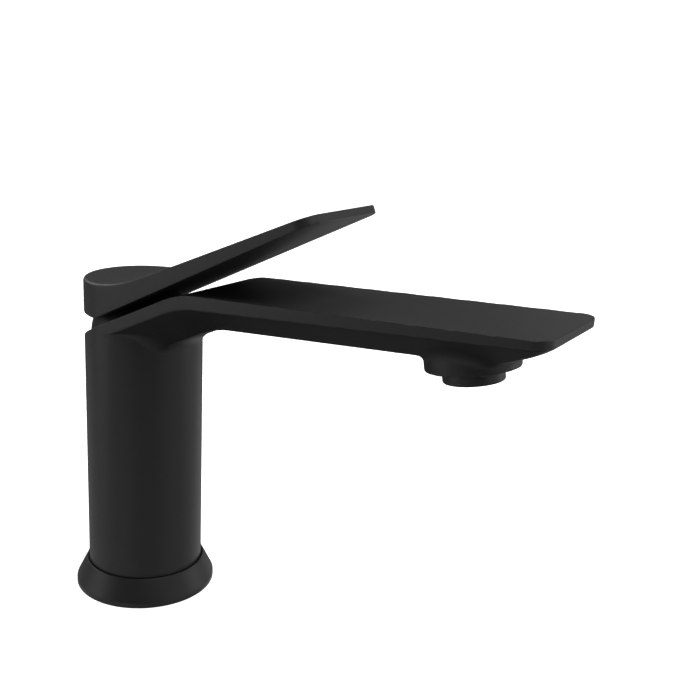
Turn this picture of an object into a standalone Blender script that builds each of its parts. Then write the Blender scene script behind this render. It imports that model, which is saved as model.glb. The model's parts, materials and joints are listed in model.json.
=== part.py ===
"""Single-lever basin mixer: body with flat spout, sliding-disc cartridge, lever handle, aerator, base ring.

Metres, +Z up. The origin is the centre of the base on the deck, and the spout points along +X.
"""
from math import acos, asin, cos, pi, radians, sin, sqrt, tan

import bmesh
import bpy
from mathutils import Matrix, Vector

# ---------------------------------------------------------------- driving dimensions
# Body column
BODY_RADIUS = 0.0240
BODY_HEIGHT = 0.1195          # where the sloping top face crosses the body's axis
TOP_SLOPE = radians(25.13)    # slope of the top face, and lean of the cartridge
SPIGOT_STEP = 0.0030          # how much narrower the foot is, inside the base ring
SPIGOT_HEIGHT = 0.0090

# Base ring
BASE_FLARE = 0.0054           # how far the base ring stands out past the body
BASE_LIP = 0.0024
BASE_HEIGHT = 0.0112
BASE_TOP_WALL = 0.0007
GASKET_INSET = 0.0026         # base ring's edge to the gasket
GASKET_WIDTH = 0.0029
GASKET_HEIGHT = 0.0015
RING_SEAL_HEIGHT = 0.0053
RING_SEAL_WIRE = 0.0010

# Spout plate and the hull under it
SPOUT_TIP = 0.1824            # body axis to the end of the spout
SPOUT_RISE = radians(3.25)
SPOUT_INSET = 0.0003          # how much narrower the plate is than the body, each side
SPOUT_CORNER = 0.0068
BEND_X = 0.0386               # where the neck's slope turns into the spout's
BEND_REACH = 0.0075
PLATE_AT_NECK = 0.00535
PLATE_AT_TIP = 0.00315
NECK_HULL_DEPTH = 0.0139
HULL_DEPTH = 0.0094
HULL_HALF_WIDTH = 0.0120
HULL_NOSE = 0.0174            # length of the slope that closes the hull at the tip

# Outlet boss and aerator
OUTLET_SETBACK = 0.0340       # spout's end to the centre of the boss's face
OUTLET_TILT = radians(9.5)
OUTLET_DROP = 0.0045          # how far the boss's face lies below the hull
BOSS_RADIUS = 0.0166
AERATOR_RADIUS = 0.01075
AERATOR_DROP = 0.0047
AERATOR_THREAD = 0.0055
AERATOR_WALL = 0.0012
AERATOR_LIP = 0.0010
AERATOR_GRIP = 0.00095        # how much wider the visible collar is than its thread
JET_RADIUS = 0.0010
SCREEN_HOLE = 0.0007
INSERT_HEIGHT = 0.0039
SCREEN_HEIGHT = 0.0006
REGULATOR_HEIGHT = 0.0026
WASHER_HEIGHT = 0.0018
WASHER_SETBACK = 0.0020       # outlet bore to the washer's inner edge
OUTLET_BORE = 0.0050

# Waterways
SPOUT_BORE = 0.0040
NECK_BORE = 0.0032
NECK_BORE_AT = -0.0083        # where it leaves the cartridge well, along the cartridge axis
ELBOW_LIFT = 0.0010           # how far the elbow lies over the middle of the neck
HOSE_SOCKET = 0.00425
HOSE_SOCKET_DEPTH = 0.0160
HOSE_OFFSET = 0.0095
INLET_BORE = 0.0027
STUD_SOCKET = 0.0034
STUD_SOCKET_DEPTH = 0.0180
STUD_OFFSET = 0.0135
CORE_WALL = 0.0040            # casting wall left round the cored hollow of the column
CORE_CHORD = 0.0100           # half-thickness of the web that carries the waterways
CORE_WEB_HALF = 0.0160        # half-width of that web
CORE_HEIGHT = 0.0840
GALLERY_BOTTOM = 0.0220

# Cartridge: heights are along its own axis, from the lever's pivot
PIVOT_DEPTH = 0.00716         # pivot to the sloping top face
CARTRIDGE_RADIUS = 0.0125
CARTRIDGE_WALL = 0.0016
CARTRIDGE_TOP = 0.0040
CARTRIDGE_BOTTOM = -0.0196
SHELL_STEP = -0.0068          # where the housing widens for the discs
LIP_HEIGHT = 0.0017
ROTOR_NECK = 0.0080
ROTOR_BOTTOM = -0.0065
ROTOR_TOP = 0.0092
NUT_WALL = 0.0019
NUT_BOTTOM = -0.0002
NUT_TOP = 0.0068
NUT_COLLAR = 0.0006           # round part of the nut over the cartridge's top
LIMIT_RING_WIDTH = 0.0027
LIMIT_RING_HEIGHT = 0.0018
LIMIT_TAB_REACH = 0.0015
LIMIT_TAB_HALF = 0.0020
CARRIER_HEIGHT = 0.0038
MOVING_DISC_HEIGHT = 0.0027
FIXED_DISC_HEIGHT = 0.0027
DISC_TRAVEL_ROOM = 0.0023     # radial room that the sliding disc needs
PORT_BACK = 0.0035
PORT_SIDE = 0.0052
PORT_RADIUS = 0.0022
SEAL_WIDTH = 0.0009
SEAL_HEIGHT = 0.0012
WINDOW_HALF = 0.0040          # half-width of the housing's outlet window
PASSAGE_HALF = 0.0045         # half-length of the mixing passage under the sliding disc
PASSAGE_DEPTH = 0.0014
HOUSING_SEAL_AT = -0.0022
HOUSING_SEAL_WIRE = 0.0007

# Bonnet
BONNET_MARGIN = 0.0026        # body radius less the dome's radius
BONNET_WALL = 0.0018
BONNET_SKIRT = 0.0033
BONNET_MOUTH = 0.0135         # height of the dome's mouth over the pivot

# Stem
STEM_HALF = 0.0035
STEM_LEAN = radians(10.0)     # the stem leans forward of the cartridge axis when the tap is shut
STEM_TOP = 0.0225
STEM_ARM = 0.0076
STEM_BALL = 0.0018
STEM_LEG = 0.0016
PIN_RADIUS = 0.0015

# Handle: heights are above the lever's pivot
CAP_OVERHANG = 0.0001         # how much wider the cap is than the body, each side
CAP_TOP = 0.0235
CAP_BOTTOM = 0.0093
LEVER_TOP_AT_AXIS = 0.0205
LEVER_TOP_SLOPE = radians(23.44)
LEVER_UNDER_AT_AXIS = 0.0114
LEVER_UNDER_SLOPE = radians(26.28)
LEVER_BLEND = 0.0720
LEVER_LENGTH = 0.0951
LEVER_CORNER = 0.0070
CAVITY_ROOM = 0.00074         # gap between the dome and the handle's hollow
CAVITY_ROOF = 0.0175
HUB_RADIUS = 0.0065
HUB_BOTTOM = 0.0113
GRUB_SCREW_AT = 0.0202
GRUB_SCREW_RADIUS = 0.00195
GRUB_SCREW_LENGTH = 0.0060
GRUB_SCREW_KEY = 0.0010
PLUG_RADIUS = 0.0032
PLUG_HEAD = 0.0012
PLUG_STUB = 0.0025

# Working values
GAP = 0.0003                  # clearance between pieces that fit together
OVERCUT = 0.0010              # how far a cutter runs past the face it cuts
STEPS = 48
FINE_STEPS = 24
SMALL_STEPS = 12
HOLE_STEPS = 8
WIRE_STEPS = 8
DOME_STEPS = 5
MERGE = 1e-6
SMOOTH_ANGLE = radians(35.0)

# ---------------------------------------------------------------- places worked out from them
top_rise = tan(TOP_SLOPE)
spout_rise = tan(SPOUT_RISE)
spigot_radius = BODY_RADIUS - SPIGOT_STEP
base_radius = BODY_RADIUS + BASE_FLARE
spout_half_width = BODY_RADIUS - SPOUT_INSET
cap_radius = BODY_RADIUS + CAP_OVERHANG
outlet_reach = SPOUT_TIP - OUTLET_SETBACK
pivot = Vector((0.0, 0.0, BODY_HEIGHT - PIVOT_DEPTH / cos(TOP_SLOPE)))
cartridge_up = Vector((-sin(TOP_SLOPE), 0.0, cos(TOP_SLOPE)))
cartridge_forward = Vector((cos(TOP_SLOPE), 0.0, sin(TOP_SLOPE)))
bend_top = BODY_HEIGHT + BEND_X * top_rise
plate_taper = (PLATE_AT_NECK - PLATE_AT_TIP) / (SPOUT_TIP - BEND_X)
under_rise = spout_rise + plate_taper

bonnet_radius = BODY_RADIUS - BONNET_MARGIN
skirt_radius = sqrt(bonnet_radius ** 2 - PIVOT_DEPTH ** 2)
skirt_bottom = PIVOT_DEPTH - BONNET_SKIRT
nut_radius = CARTRIDGE_RADIUS + GAP + NUT_WALL
rotor_radius = CARTRIDGE_RADIUS - CARTRIDGE_WALL - 4 * GAP
disc_room = CARTRIDGE_RADIUS - CARTRIDGE_WALL
carrier_top = ROTOR_BOTTOM - GAP
moving_disc_top = carrier_top - CARRIER_HEIGHT - GAP
fixed_disc_top = moving_disc_top - MOVING_DISC_HEIGHT - GAP
cartridge_foot_top = fixed_disc_top - FIXED_DISC_HEIGHT - GAP
well_floor = CARTRIDGE_BOTTOM - GAP
disc_offset = -STEM_ARM * sin(STEM_LEAN)


def bent_line(x, height, rise_in, rise_out, bend_x):
    """Height at x of a line that turns from one rise to another with a soft bend."""
    along = x - bend_x
    if along <= -BEND_REACH:
        return height + rise_in * along
    if along >= BEND_REACH:
        return height + rise_out * along
    softened = (rise_out - rise_in) * (along + BEND_REACH) ** 2 / (4 * BEND_REACH)
    return height + rise_in * along + softened


def plate_top(x):
    return bent_line(x, bend_top, top_rise, spout_rise, BEND_X)


def plate_bottom(x):
    return bent_line(x, bend_top - PLATE_AT_NECK, top_rise, under_rise, BEND_X)


hull_bend_x = BEND_X + (NECK_HULL_DEPTH - HULL_DEPTH) / (top_rise - under_rise)
hull_bend = bend_top - PLATE_AT_NECK - HULL_DEPTH + under_rise * (hull_bend_x - BEND_X)


def hull_bottom(x):
    """Underside of the hull, ending in the slope that closes it at the tip."""
    flat = bent_line(x, hull_bend, top_rise, under_rise, hull_bend_x)
    into_nose = max(0.0, x - (SPOUT_TIP - HULL_NOSE)) / HULL_NOSE
    return flat + into_nose * (HULL_DEPTH - GAP)


outlet_face = Vector((outlet_reach, 0.0, hull_bottom(outlet_reach) - OUTLET_DROP))
outlet_up = Vector((-sin(OUTLET_TILT), 0.0, cos(OUTLET_TILT)))
aerator_thread_radius = AERATOR_RADIUS - AERATOR_GRIP
aerator_inner = aerator_thread_radius - AERATOR_WALL
outlet_pocket = AERATOR_THREAD + WASHER_HEIGHT + 2 * GAP
spout_bore_height = (plate_top(outlet_reach) + hull_bottom(outlet_reach)) / 2
well_side = cartridge_forward * (CARTRIDGE_RADIUS - 2 * OVERCUT)
neck_bore_start = pivot + well_side + cartridge_up * NECK_BORE_AT
elbow = Vector((BEND_X, 0.0, (plate_top(BEND_X) + hull_bottom(BEND_X)) / 2 + ELBOW_LIFT))
spout_bore_end = Vector((outlet_reach, 0.0, spout_bore_height))


# ---------------------------------------------------------------- helpers
def finish(name, colour, roughness, metallic):
    material = bpy.data.materials.new(name)
    material.use_nodes = True
    shader = material.node_tree.nodes["Principled BSDF"]
    shader.inputs["Base Color"].default_value = (*colour, 1.0)
    shader.inputs["Roughness"].default_value = roughness
    shader.inputs["Metallic"].default_value = metallic
    material.diffuse_color = (*colour, 1.0)
    return material


def make_object(name, bm, material=None, parent=None):
    """Turn a finished bmesh into an object; one without a material is a cutter."""
    bmesh.ops.remove_doubles(bm, verts=bm.verts, dist=MERGE)
    bmesh.ops.recalc_face_normals(bm, faces=bm.faces)
    mesh = bpy.data.meshes.new(name)
    bm.to_mesh(mesh)
    bm.free()
    mesh.shade_smooth()
    mesh.set_sharp_from_angle(angle=SMOOTH_ANGLE)
    obj = bpy.data.objects.new(name, mesh)
    bpy.context.scene.collection.objects.link(obj)
    obj.parent = parent
    if material:
        mesh.materials.append(material)
    else:
        obj.hide_render = True
        obj.display_type = "WIRE"
    return obj


def make_empty(name, location, rotation_y=0.0, parent=None):
    empty = bpy.data.objects.new(name, None)
    bpy.context.scene.collection.objects.link(empty)
    empty.location = location
    empty.rotation_euler = (0.0, rotation_y, 0.0)
    empty.parent = parent
    return empty


def turned(name, profile, material=None, parent=None, steps=STEPS):
    """Spin (radius, height) points about Z: a closed ring, or a solid if both ends lie on the axis."""
    is_ring = profile[0][0] > MERGE
    bm = bmesh.new()
    points = [bm.verts.new((radius, 0.0, height)) for radius, height in profile if radius > MERGE]
    edges = [bm.edges.new(pair) for pair in zip(points, points[1:])]
    if is_ring:
        edges.append(bm.edges.new((points[-1], points[0])))
    bmesh.ops.spin(bm, geom=points + edges, cent=(0, 0, 0), axis=(0, 0, 1), angle=2 * pi, steps=steps)
    bmesh.ops.remove_doubles(bm, verts=bm.verts, dist=MERGE)
    if not is_ring:
        bmesh.ops.holes_fill(bm, edges=bm.edges, sides=steps)
    return make_object(name, bm, material, parent)


def ring(name, inner, outer, bottom, top, material=None, parent=None, steps=STEPS):
    profile = [(inner, bottom), (outer, bottom), (outer, top), (inner, top)]
    return turned(name, profile, material, parent, steps)


def disc(name, radius, bottom, top, material=None, parent=None, steps=STEPS):
    profile = [(0.0, bottom), (radius, bottom), (radius, top), (0.0, top)]
    return turned(name, profile, material, parent, steps)


def torus(name, centre_radius, wire, height, material, parent):
    section = arc((centre_radius, height), wire, 0.0, 2 * pi, WIRE_STEPS)[:-1]
    return turned(name, section, material, parent, FINE_STEPS)


def prism(name, outline, low, high, along="Z", material=None, parent=None):
    """Extrude an outline along Z, or an (x, z) outline along Y."""
    bm = bmesh.new()
    if along == "Z":
        base = [bm.verts.new((x, y, low)) for x, y in outline]
        travel = Vector((0.0, 0.0, high - low))
    else:
        base = [bm.verts.new((x, low, z)) for x, z in outline]
        travel = Vector((0.0, high - low, 0.0))
    face = bm.faces.new(base)
    grown = bmesh.ops.extrude_face_region(bm, geom=[face])
    moved = [item for item in grown["geom"] if isinstance(item, bmesh.types.BMVert)]
    bmesh.ops.translate(bm, verts=moved, vec=travel)
    return make_object(name, bm, material, parent)


def box(name, low, high, material=None, parent=None):
    outline = [(low[0], low[1]), (high[0], low[1]), (high[0], high[1]), (low[0], high[1])]
    return prism(name, outline, low[2], high[2], "Z", material, parent)


def rod(name, start, end, radius, material=None, parent=None, steps=FINE_STEPS):
    """A plain cylinder between two points."""
    travel = Vector(end) - Vector(start)
    turn = travel.to_track_quat("Z", "Y").to_matrix().to_4x4()
    place = Matrix.Translation((Vector(start) + Vector(end)) / 2) @ turn
    bm = bmesh.new()
    bmesh.ops.create_cone(
        bm, cap_ends=True, segments=steps, radius1=radius, radius2=radius, depth=travel.length, matrix=place
    )
    return make_object(name, bm, material, parent)


def arc(centre, radius, start, end, steps):
    """Points on a circle in a plane, from one angle to another."""
    angles = [start + (end - start) * step / steps for step in range(steps + 1)]
    return [(centre[0] + radius * cos(a), centre[1] + radius * sin(a)) for a in angles]


def combine(target, tool, operation):
    modifier = target.modifiers.new(tool.name, "BOOLEAN")
    modifier.operation = operation
    modifier.solver = "EXACT"
    modifier.object = tool


def cut(target, *tools):
    for tool in tools:
        combine(target, tool, "DIFFERENCE")


def join(target, *tools):
    for tool in tools:
        combine(target, tool, "UNION")


# ---------------------------------------------------------------- body
def spout_section(x):
    """One closed loop of points round the spout at x; its top stands proud until the top face is cut."""
    into_corner = max(0.0, x - (SPOUT_TIP - SPOUT_CORNER))
    half = spout_half_width - SPOUT_CORNER + sqrt(max(0.0, SPOUT_CORNER ** 2 - into_corner ** 2))
    depth = plate_bottom(x) - hull_bottom(x)
    flank = (spout_half_width - HULL_HALF_WIDTH) * min(1.0, depth / HULL_DEPTH)
    side = [(half, plate_top(x) + BODY_RADIUS / 2), (half, plate_bottom(x)), (half - flank, hull_bottom(x))]
    return [(x, y, z) for y, z in side] + [(x, -y, z) for y, z in reversed(side)]


def spout_stations():
    """Where sections are taken: close together in the bends and round the tip's corners."""
    bend_start = BEND_X - BEND_REACH
    bend_end = hull_bend_x + BEND_REACH
    bend = [bend_start + (bend_end - bend_start) * step / 10 for step in range(11)]
    nose = [SPOUT_TIP - HULL_NOSE]
    corner = [SPOUT_TIP - SPOUT_CORNER + SPOUT_CORNER * sin(pi / 2 * step / 8) for step in range(9)]
    return [0.0] + bend + nose + corner


def make_spout():
    bm = bmesh.new()
    loops = [[bm.verts.new(point) for point in spout_section(x)] for x in spout_stations()]
    for near, far in zip(loops, loops[1:]):
        for index in range(len(near)):
            after = (index + 1) % len(near)
            bm.faces.new((near[index], near[after], far[after], far[index]))
    bm.faces.new(loops[0])
    bm.faces.new(loops[-1])
    bmesh.ops.triangulate(bm, faces=bm.faces)
    return make_object("spout_form", bm)


def core_pocket():
    """The hollow left by the foundry's core: a D-shaped mouth in the foot, and a gallery round the web."""
    mouth_radius = spigot_radius - CORE_WALL
    half_angle = acos(CORE_CHORD / mouth_radius)
    outline = arc((0.0, 0.0), mouth_radius, -half_angle, half_angle, FINE_STEPS // 2)
    mouth = prism("core_mouth", outline, -OVERCUT, CORE_HEIGHT - GAP)
    gallery = disc("core_gallery", BODY_RADIUS - CORE_WALL, GALLERY_BOTTOM, CORE_HEIGHT)
    web = box("core_web", (-CORE_CHORD, -CORE_WEB_HALF, 0.0), (CORE_CHORD, CORE_WEB_HALF, 2 * CORE_HEIGHT))
    cut(gallery, web)
    return mouth, gallery


def make_body(material, cartridge_frame, outlet_frame):
    tall = BODY_HEIGHT + 2 * BODY_RADIUS
    body = turned(
        "body_casting",
        [(0.0, 0.0), (spigot_radius, 0.0), (spigot_radius, SPIGOT_HEIGHT), (BODY_RADIUS, SPIGOT_HEIGHT),
         (BODY_RADIUS, tall), (0.0, tall)],
        material,
    )
    boss_top = HULL_DEPTH + OUTLET_DROP - OVERCUT
    boss = disc("boss_form", BOSS_RADIUS, 0.0, boss_top, parent=outlet_frame)
    join(body, make_spout(), boss)
    past = 2 * BODY_RADIUS
    ends = [-past] + spout_stations() + [SPOUT_TIP + past]
    above = [(x, plate_top(x)) for x in ends] + [(SPOUT_TIP + past, 2 * tall), (-past, 2 * tall)]
    cut(body, prism("top_face_cutter", above, -past, past, "Y"))

    well = turned(
        "cartridge_well",
        [(0.0, well_floor), (CARTRIDGE_RADIUS + GAP, well_floor), (CARTRIDGE_RADIUS + GAP, NUT_BOTTOM - GAP),
         (nut_radius + GAP, NUT_BOTTOM - GAP), (nut_radius + GAP, skirt_bottom - GAP),
         (skirt_radius + GAP, skirt_bottom - GAP), (skirt_radius + GAP, PIVOT_DEPTH + OVERCUT),
         (0.0, PIVOT_DEPTH + OVERCUT)],
        parent=cartridge_frame,
    )
    outlet = turned(
        "outlet_pocket",
        [(0.0, -OVERCUT), (aerator_thread_radius + GAP, -OVERCUT),
         (aerator_thread_radius + GAP, outlet_pocket), (OUTLET_BORE, outlet_pocket),
         (OUTLET_BORE, outlet_pocket + OUTLET_DROP), (0.0, outlet_pocket + OUTLET_DROP)],
        parent=outlet_frame,
    )
    neck_bore = rod("neck_bore", neck_bore_start, elbow, NECK_BORE)
    spout_bore = rod("spout_bore", elbow - Vector((SPOUT_BORE, 0, 0)), spout_bore_end, SPOUT_BORE)
    groove_depth = 2 * RING_SEAL_WIRE + GAP
    seal_groove = ring(
        "ring_seal_groove", spigot_radius - groove_depth, spigot_radius + OVERCUT,
        RING_SEAL_HEIGHT - RING_SEAL_WIRE - GAP, RING_SEAL_HEIGHT + RING_SEAL_WIRE + GAP,
    )
    stud_mouth, stud_end = (-STUD_OFFSET, 0, -OVERCUT), (-STUD_OFFSET, 0, STUD_SOCKET_DEPTH)
    stud_socket = rod("stud_socket", stud_mouth, stud_end, STUD_SOCKET)
    cut(body, well, outlet, neck_bore, spout_bore, seal_groove, stud_socket, *core_pocket())
    for side, hand in ((-1, "hot"), (1, "cold")):
        mouth = Vector((0.0, side * HOSE_OFFSET, -OVERCUT))
        socket_end = Vector((0.0, side * HOSE_OFFSET, HOSE_SOCKET_DEPTH))
        floor_port = (pivot - cartridge_forward * PORT_BACK + Vector((0.0, side * PORT_SIDE, 0.0))
                      + cartridge_up * (well_floor + OVERCUT))
        socket = rod(hand + "_hose_socket", mouth, socket_end, HOSE_SOCKET)
        bore_start = socket_end - Vector((0, 0, OVERCUT))
        cut(body, socket, rod(hand + "_inlet_bore", bore_start, floor_port, INLET_BORE, steps=SMALL_STEPS))


def make_base(black, rubber):
    ring_bore = spigot_radius + GAP
    recess = BODY_RADIUS + GAP
    top_radius = recess + BASE_TOP_WALL
    seat = SPIGOT_HEIGHT - GAP
    gasket_outer = base_radius - GASKET_INSET
    base = turned(
        "base_ring",
        [(ring_bore, 0.0), (base_radius, 0.0), (base_radius, BASE_LIP), (top_radius, BASE_HEIGHT),
         (recess, BASE_HEIGHT), (recess, seat), (ring_bore, seat)],
        black,
    )
    groove = ring(
        "gasket_groove", gasket_outer - GASKET_WIDTH - GAP, gasket_outer + GAP, -OVERCUT, GASKET_HEIGHT + GAP
    )
    cut(base, groove)
    ring("base_gasket", gasket_outer - GASKET_WIDTH, gasket_outer, 0.0, GASKET_HEIGHT, rubber)
    seal_wire = RING_SEAL_WIRE - GAP / 10
    torus("base_o_ring", spigot_radius - RING_SEAL_WIRE, seal_wire, RING_SEAL_HEIGHT, rubber, None)


# ---------------------------------------------------------------- cartridge, fixed pieces
def make_bonnet(black, frame):
    mouth_angle = asin(BONNET_MOUTH / bonnet_radius)
    skirt_angle = asin(PIVOT_DEPTH / bonnet_radius)
    inner = bonnet_radius - BONNET_WALL
    inner_mouth = asin(BONNET_MOUTH / inner)
    inner_skirt = asin(PIVOT_DEPTH / inner)
    outside = arc((0.0, 0.0), bonnet_radius, skirt_angle, mouth_angle, DOME_STEPS)
    inside = arc((0.0, 0.0), inner, inner_mouth, inner_skirt, DOME_STEPS)
    bottom = [(inner * cos(inner_skirt), skirt_bottom), (skirt_radius, skirt_bottom)]
    return turned("dome_bonnet", bottom + outside + inside, black, frame)


def make_nut(brass, frame):
    bore = CARTRIDGE_RADIUS + GAP
    lip = CARTRIDGE_TOP + GAP
    hex_bottom = lip + NUT_COLLAR
    nut = ring("cartridge_nut", bore, nut_radius, NUT_BOTTOM, lip, brass, frame)
    collar = disc("nut_collar", nut_radius, lip - GAP, hex_bottom, parent=frame)
    hexagon = arc((0.0, 0.0), nut_radius, 0.0, 2 * pi, 6)[:-1]
    head = prism("nut_hexagon", hexagon, hex_bottom - GAP, NUT_TOP, parent=frame)
    join(nut, collar, head)
    mouth = disc("nut_mouth", ROTOR_NECK + 2 * GAP, NUT_BOTTOM, NUT_TOP + OVERCUT, parent=frame)
    seat = disc("nut_seat", bore, NUT_BOTTOM - OVERCUT, lip, parent=frame)
    cut(nut, mouth, seat)


def make_housing(plastic, rubber, frame):
    neck_room = rotor_radius + GAP
    housing = turned(
        "cartridge_housing",
        [(disc_room, CARTRIDGE_BOTTOM), (CARTRIDGE_RADIUS, CARTRIDGE_BOTTOM),
         (CARTRIDGE_RADIUS, CARTRIDGE_TOP), (ROTOR_NECK + GAP, CARTRIDGE_TOP),
         (ROTOR_NECK + GAP, CARTRIDGE_TOP - LIP_HEIGHT),
         (neck_room, CARTRIDGE_TOP - LIP_HEIGHT), (neck_room, SHELL_STEP), (disc_room, SHELL_STEP)],
        plastic, frame,
    )
    groove_half = HOUSING_SEAL_WIRE + GAP
    groove = ring(
        "housing_seal_groove", CARTRIDGE_RADIUS - 2 * HOUSING_SEAL_WIRE - GAP, CARTRIDGE_RADIUS + OVERCUT,
        HOUSING_SEAL_AT - groove_half, HOUSING_SEAL_AT + groove_half, parent=frame,
    )
    window = box(
        "outlet_window", (disc_room - OVERCUT, -WINDOW_HALF, moving_disc_top),
        (CARTRIDGE_RADIUS + OVERCUT, WINDOW_HALF, SHELL_STEP), parent=frame,
    )
    cut(housing, groove, window)
    seal_wire = HOUSING_SEAL_WIRE - GAP / 10
    seal_radius = CARTRIDGE_RADIUS - HOUSING_SEAL_WIRE
    torus("cartridge_o_ring", seal_radius, seal_wire, HOUSING_SEAL_AT, rubber, frame)


def cut_ports(target, frame, bottom, top):
    """Two inlet ports through a round piece of the cartridge."""
    for side, hand in ((-1, "hot"), (1, "cold")):
        low = Vector((-PORT_BACK, side * PORT_SIDE, bottom - OVERCUT))
        high = Vector((-PORT_BACK, side * PORT_SIDE, top + OVERCUT))
        name = target.name + "_" + hand + "_port"
        cut(target, rod(name, low, high, PORT_RADIUS, parent=frame, steps=SMALL_STEPS))


def make_cartridge_foot(plastic, ceramic, rubber, frame):
    foot_radius = disc_room - GAP
    foot = disc("cartridge_foot", foot_radius, CARTRIDGE_BOTTOM, cartridge_foot_top, plastic, frame)
    cut_ports(foot, frame, CARTRIDGE_BOTTOM, cartridge_foot_top)
    fixed_bottom = fixed_disc_top - FIXED_DISC_HEIGHT
    fixed = disc("fixed_ceramic_disc", foot_radius, fixed_bottom, fixed_disc_top, ceramic, frame)
    cut_ports(fixed, frame, fixed_bottom, fixed_disc_top)
    recess_top = CARTRIDGE_BOTTOM + SEAL_HEIGHT + GAP
    for side, hand in ((-1, "hot"), (1, "cold")):
        centre = make_empty(hand + "_seal_centre", (-PORT_BACK, side * PORT_SIDE, 0.0), parent=frame)
        seal_outer = PORT_RADIUS + SEAL_WIDTH
        recess = disc(
            hand + "_seal_recess", seal_outer + GAP, CARTRIDGE_BOTTOM - OVERCUT, recess_top, parent=centre,
            steps=SMALL_STEPS,
        )
        cut(foot, recess)
        ring(
            hand + "_inlet_seal", PORT_RADIUS, seal_outer, CARTRIDGE_BOTTOM, CARTRIDGE_BOTTOM + SEAL_HEIGHT,
            rubber, centre, SMALL_STEPS,
        )


# ---------------------------------------------------------------- cartridge, moving pieces
def make_rotor(plastic, limit_plastic, steel, frame):
    rotor = turned(
        "stem_rotor",
        [(0.0, ROTOR_BOTTOM), (rotor_radius, ROTOR_BOTTOM), (rotor_radius, CARTRIDGE_TOP - LIP_HEIGHT - GAP),
         (ROTOR_NECK, CARTRIDGE_TOP - LIP_HEIGHT - GAP), (ROTOR_NECK, ROTOR_TOP), (0.0, ROTOR_TOP)],
        plastic, frame,
    )
    swing = ROTOR_TOP * tan(STEM_LEAN) + STEM_HALF / cos(STEM_LEAN) + GAP
    slot_half = STEM_HALF + GAP
    slot = box(
        "stem_slot", (-swing, -slot_half, ROTOR_BOTTOM - OVERCUT), (swing, slot_half, ROTOR_TOP + OVERCUT),
        parent=frame,
    )
    reach = rotor_radius + OVERCUT
    pin_bore = PIN_RADIUS + GAP
    pin_hole = rod("pin_hole", (0, -reach, 0), (0, reach, 0), pin_bore, parent=frame, steps=SMALL_STEPS)
    cut(rotor, slot, pin_hole)
    pin_half = rotor_radius - GAP
    rod("stem_pin", (0, -pin_half, 0), (0, pin_half, 0), PIN_RADIUS, steel, frame, SMALL_STEPS)

    ring_bore = ROTOR_NECK + GAP
    ring_bottom = NUT_TOP + GAP
    ring_top = ring_bottom + LIMIT_RING_HEIGHT
    ring_edge = ring_bore + LIMIT_RING_WIDTH
    limit = ring("hot_limit_ring", ring_bore, ring_edge, ring_bottom, ring_top, limit_plastic, frame)
    tab = box(
        "limit_ring_tab", (ring_edge - OVERCUT, -LIMIT_TAB_HALF, ring_bottom),
        (ring_edge + LIMIT_TAB_REACH, LIMIT_TAB_HALF, ring_top), parent=frame,
    )
    join(limit, tab)


def make_sliding_disc(plastic, ceramic, frame):
    radius = disc_room - DISC_TRAVEL_ROOM
    carrier_bottom = carrier_top - CARRIER_HEIGHT
    carrier = disc("disc_carrier", radius, carrier_bottom, carrier_top, plastic, frame)
    socket_floor = -STEM_ARM - STEM_BALL - GAP
    socket_top = carrier_top + OVERCUT
    socket = disc("ball_socket", STEM_BALL + GAP, socket_floor, socket_top, parent=frame, steps=SMALL_STEPS)
    cut(carrier, socket)
    moving_bottom = moving_disc_top - MOVING_DISC_HEIGHT
    moving = disc("moving_ceramic_disc", radius, moving_bottom, moving_disc_top, ceramic, frame)
    passage = box(
        "mixing_passage", (-PASSAGE_HALF, -PORT_SIDE, moving_bottom - OVERCUT),
        (PASSAGE_HALF, PORT_SIDE, moving_bottom + PASSAGE_DEPTH), parent=frame,
    )
    cut(moving, passage)


def make_stem(brass, frame):
    stem = box(
        "stem", (-STEM_HALF, -STEM_HALF, -STEM_HALF), (STEM_HALF, STEM_HALF, STEM_TOP), brass, frame
    )
    leg = rod("stem_leg", (0, 0, -STEM_ARM), (0, 0, 0), STEM_LEG, parent=frame, steps=SMALL_STEPS)
    ball_profile = arc((0.0, -STEM_ARM), STEM_BALL, -pi / 2, pi / 2, DOME_STEPS)
    ball = turned("stem_ball", ball_profile, parent=frame, steps=SMALL_STEPS)
    pin_hole = rod(
        "stem_pin_hole", (0, -2 * STEM_HALF, 0), (0, 2 * STEM_HALF, 0), PIN_RADIUS + GAP, parent=frame,
        steps=SMALL_STEPS,
    )
    join(stem, leg, ball)
    cut(stem, pin_hole)


# ---------------------------------------------------------------- handle
def lever_tip():
    """Top and bottom of the lever's end face, which is square to its top, in (x, height over the pivot)."""
    top = (LEVER_LENGTH, LEVER_TOP_AT_AXIS + LEVER_LENGTH * tan(LEVER_TOP_SLOPE))
    over_underside = top[1] - LEVER_UNDER_AT_AXIS - top[0] * tan(LEVER_UNDER_SLOPE)
    drop = over_underside / (cos(LEVER_TOP_SLOPE) + sin(LEVER_TOP_SLOPE) * tan(LEVER_UNDER_SLOPE))
    return [top, (top[0] + drop * sin(LEVER_TOP_SLOPE), top[1] - drop * cos(LEVER_TOP_SLOPE))]


def handle_profile():
    """Side outline of the handle: round cap, soft blend, thin lever, in (x, height over the pivot)."""
    back = -2 * cap_radius
    meet_x = (CAP_TOP - LEVER_TOP_AT_AXIS) / tan(LEVER_TOP_SLOPE)
    blend_start = meet_x - LEVER_BLEND * tan(LEVER_TOP_SLOPE / 2)
    blend = arc((blend_start, CAP_TOP + LEVER_BLEND), LEVER_BLEND, -pi / 2, -pi / 2 + LEVER_TOP_SLOPE, 12)
    relief_x = (CAP_BOTTOM - LEVER_UNDER_AT_AXIS) / tan(LEVER_UNDER_SLOPE)
    return [(back, CAP_TOP)] + blend + lever_tip() + [(relief_x, CAP_BOTTOM), (back, CAP_BOTTOM)]


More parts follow.
